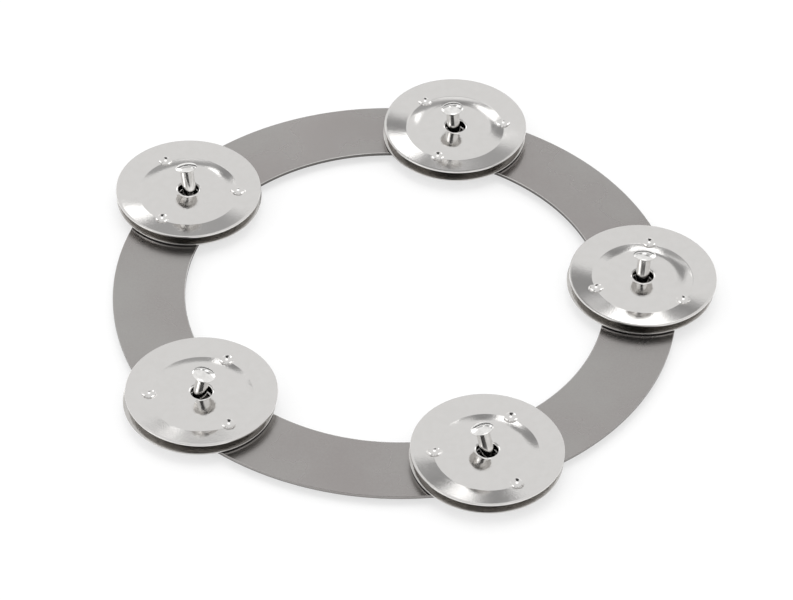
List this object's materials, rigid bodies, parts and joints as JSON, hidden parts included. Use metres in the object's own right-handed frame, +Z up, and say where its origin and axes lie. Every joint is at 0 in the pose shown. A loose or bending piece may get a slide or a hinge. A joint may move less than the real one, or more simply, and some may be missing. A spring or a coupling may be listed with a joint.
{
  "type": "ching ring",
  "caption": "Flat steel ring with pairs of pressed metal jingles on loose rivets, laid on a hi-hat cymbal round its rod.",
  "frame": {"origin": "centre of the ring at the level of the surface that the rivets' tails stand on", "axes": "+Z up along the ring's axis; +X from the centre to the first of the evenly spaced stations"},
  "size_m": [0.1635, 0.1676, 0.0137],
  "materials": {
    "ring_steel": "matt grey steel sheet with fine grain and bright edges",
    "jingle_nickel": "mirror-bright nickel plate on pressed steel",
    "rivet_steel": "bright plated steel"
  },
  "bodies": {
    "ring": {"ring": "ring_steel"},
    "rivet_1": {"rivet_1": "rivet_steel"},
    "rivet_2": {"rivet_2": "rivet_steel"},
    "rivet_3": {"rivet_3": "rivet_steel"},
    "rivet_4": {"rivet_4": "rivet_steel"},
    "rivet_5": {"rivet_5": "rivet_steel"},
    "lower_jingle_1": {"lower_jingle_1": "jingle_nickel"},
    "lower_jingle_2": {"lower_jingle_2": "jingle_nickel"},
    "lower_jingle_3": {"lower_jingle_3": "jingle_nickel"},
    "lower_jingle_4": {"lower_jingle_4": "jingle_nickel"},
    "lower_jingle_5": {"lower_jingle_5": "jingle_nickel"},
    "upper_jingle_1": {"upper_jingle_1": "jingle_nickel"},
    "upper_jingle_2": {"upper_jingle_2": "jingle_nickel"},
    "upper_jingle_3": {"upper_jingle_3": "jingle_nickel"},
    "upper_jingle_4": {"upper_jingle_4": "jingle_nickel"},
    "upper_jingle_5": {"upper_jingle_5": "jingle_nickel"}
  },
  "joints": [
    {"name": "rivet_1_spin", "type": "hinge", "parent": "ring", "child": "rivet_1", "pos_m": [0.06705, 0, 0.00291], "axis": [0.0503, 0.2017, 0.9781], "continuous": true},
    {"name": "rivet_2_spin", "type": "hinge", "parent": "ring", "child": "rivet_2", "pos_m": [0.02072, 0.06377, 0.00291], "axis": [-0.0827, 0.0694, 0.9942], "continuous": true},
    {"name": "rivet_3_spin", "type": "hinge", "parent": "ring", "child": "rivet_3", "pos_m": [-0.05425, 0.03941, 0.00291], "axis": [-0.1151, 0.2778, 0.9537], "continuous": true},
    {"name": "rivet_4_spin", "type": "hinge", "parent": "ring", "child": "rivet_4", "pos_m": [-0.05425, -0.03941, 0.00291], "axis": [0.1758, 0.0216, 0.9842], "continuous": true},
    {"name": "rivet_5_spin", "type": "hinge", "parent": "ring", "child": "rivet_5", "pos_m": [0.02072, -0.06377, 0.00291], "axis": [-0.2235, 0.2012, 0.9537], "continuous": true},
    {"name": "lower_jingle_1_lift", "type": "slide", "parent": "ring", "child": "lower_jingle_1", "axis": [0.0503, 0.2017, 0.9781], "range_m": [0, 0.00252]},
    {"name": "lower_jingle_2_lift", "type": "slide", "parent": "ring", "child": "lower_jingle_2", "axis": [-0.0827, 0.0694, 0.9942], "range_m": [0, 0.00261]},
    {"name": "lower_jingle_3_lift", "type": "slide", "parent": "ring", "child": "lower_jingle_3", "axis": [-0.1151, 0.2778, 0.9537], "range_m": [0, 0.00241]},
    {"name": "lower_jingle_4_lift", "type": "slide", "parent": "ring", "child": "lower_jingle_4", "axis": [0.1758, 0.0216, 0.9842], "range_m": [0, 0.00255]},
    {"name": "lower_jingle_5_lift", "type": "slide", "parent": "ring", "child": "lower_jingle_5", "axis": [-0.2235, 0.2012, 0.9537], "range_m": [0, 0.00241]},
    {"name": "upper_jingle_1_lift", "type": "slide", "parent": "lower_jingle_1", "child": "upper_jingle_1", "axis": [0.0503, 0.2017, 0.9781], "range_m": [0, 0.00252]},
    {"name": "upper_jingle_2_lift", "type": "slide", "parent": "lower_jingle_2", "child": "upper_jingle_2", "axis": [-0.0827, 0.0694, 0.9942], "range_m": [0, 0.00261]},
    {"name": "upper_jingle_3_lift", "type": "slide", "parent": "lower_jingle_3", "child": "upper_jingle_3", "axis": [-0.1151, 0.2778, 0.9537], "range_m": [0, 0.00241]},
    {"name": "upper_jingle_4_lift", "type": "slide", "parent": "lower_jingle_4", "child": "upper_jingle_4", "axis": [0.1758, 0.0216, 0.9842], "range_m": [0, 0.00255]},
    {"name": "upper_jingle_5_lift", "type": "slide", "parent": "lower_jingle_5", "child": "upper_jingle_5", "axis": [-0.2235, 0.2012, 0.9537], "range_m": [0, 0.00241]}
  ]
}
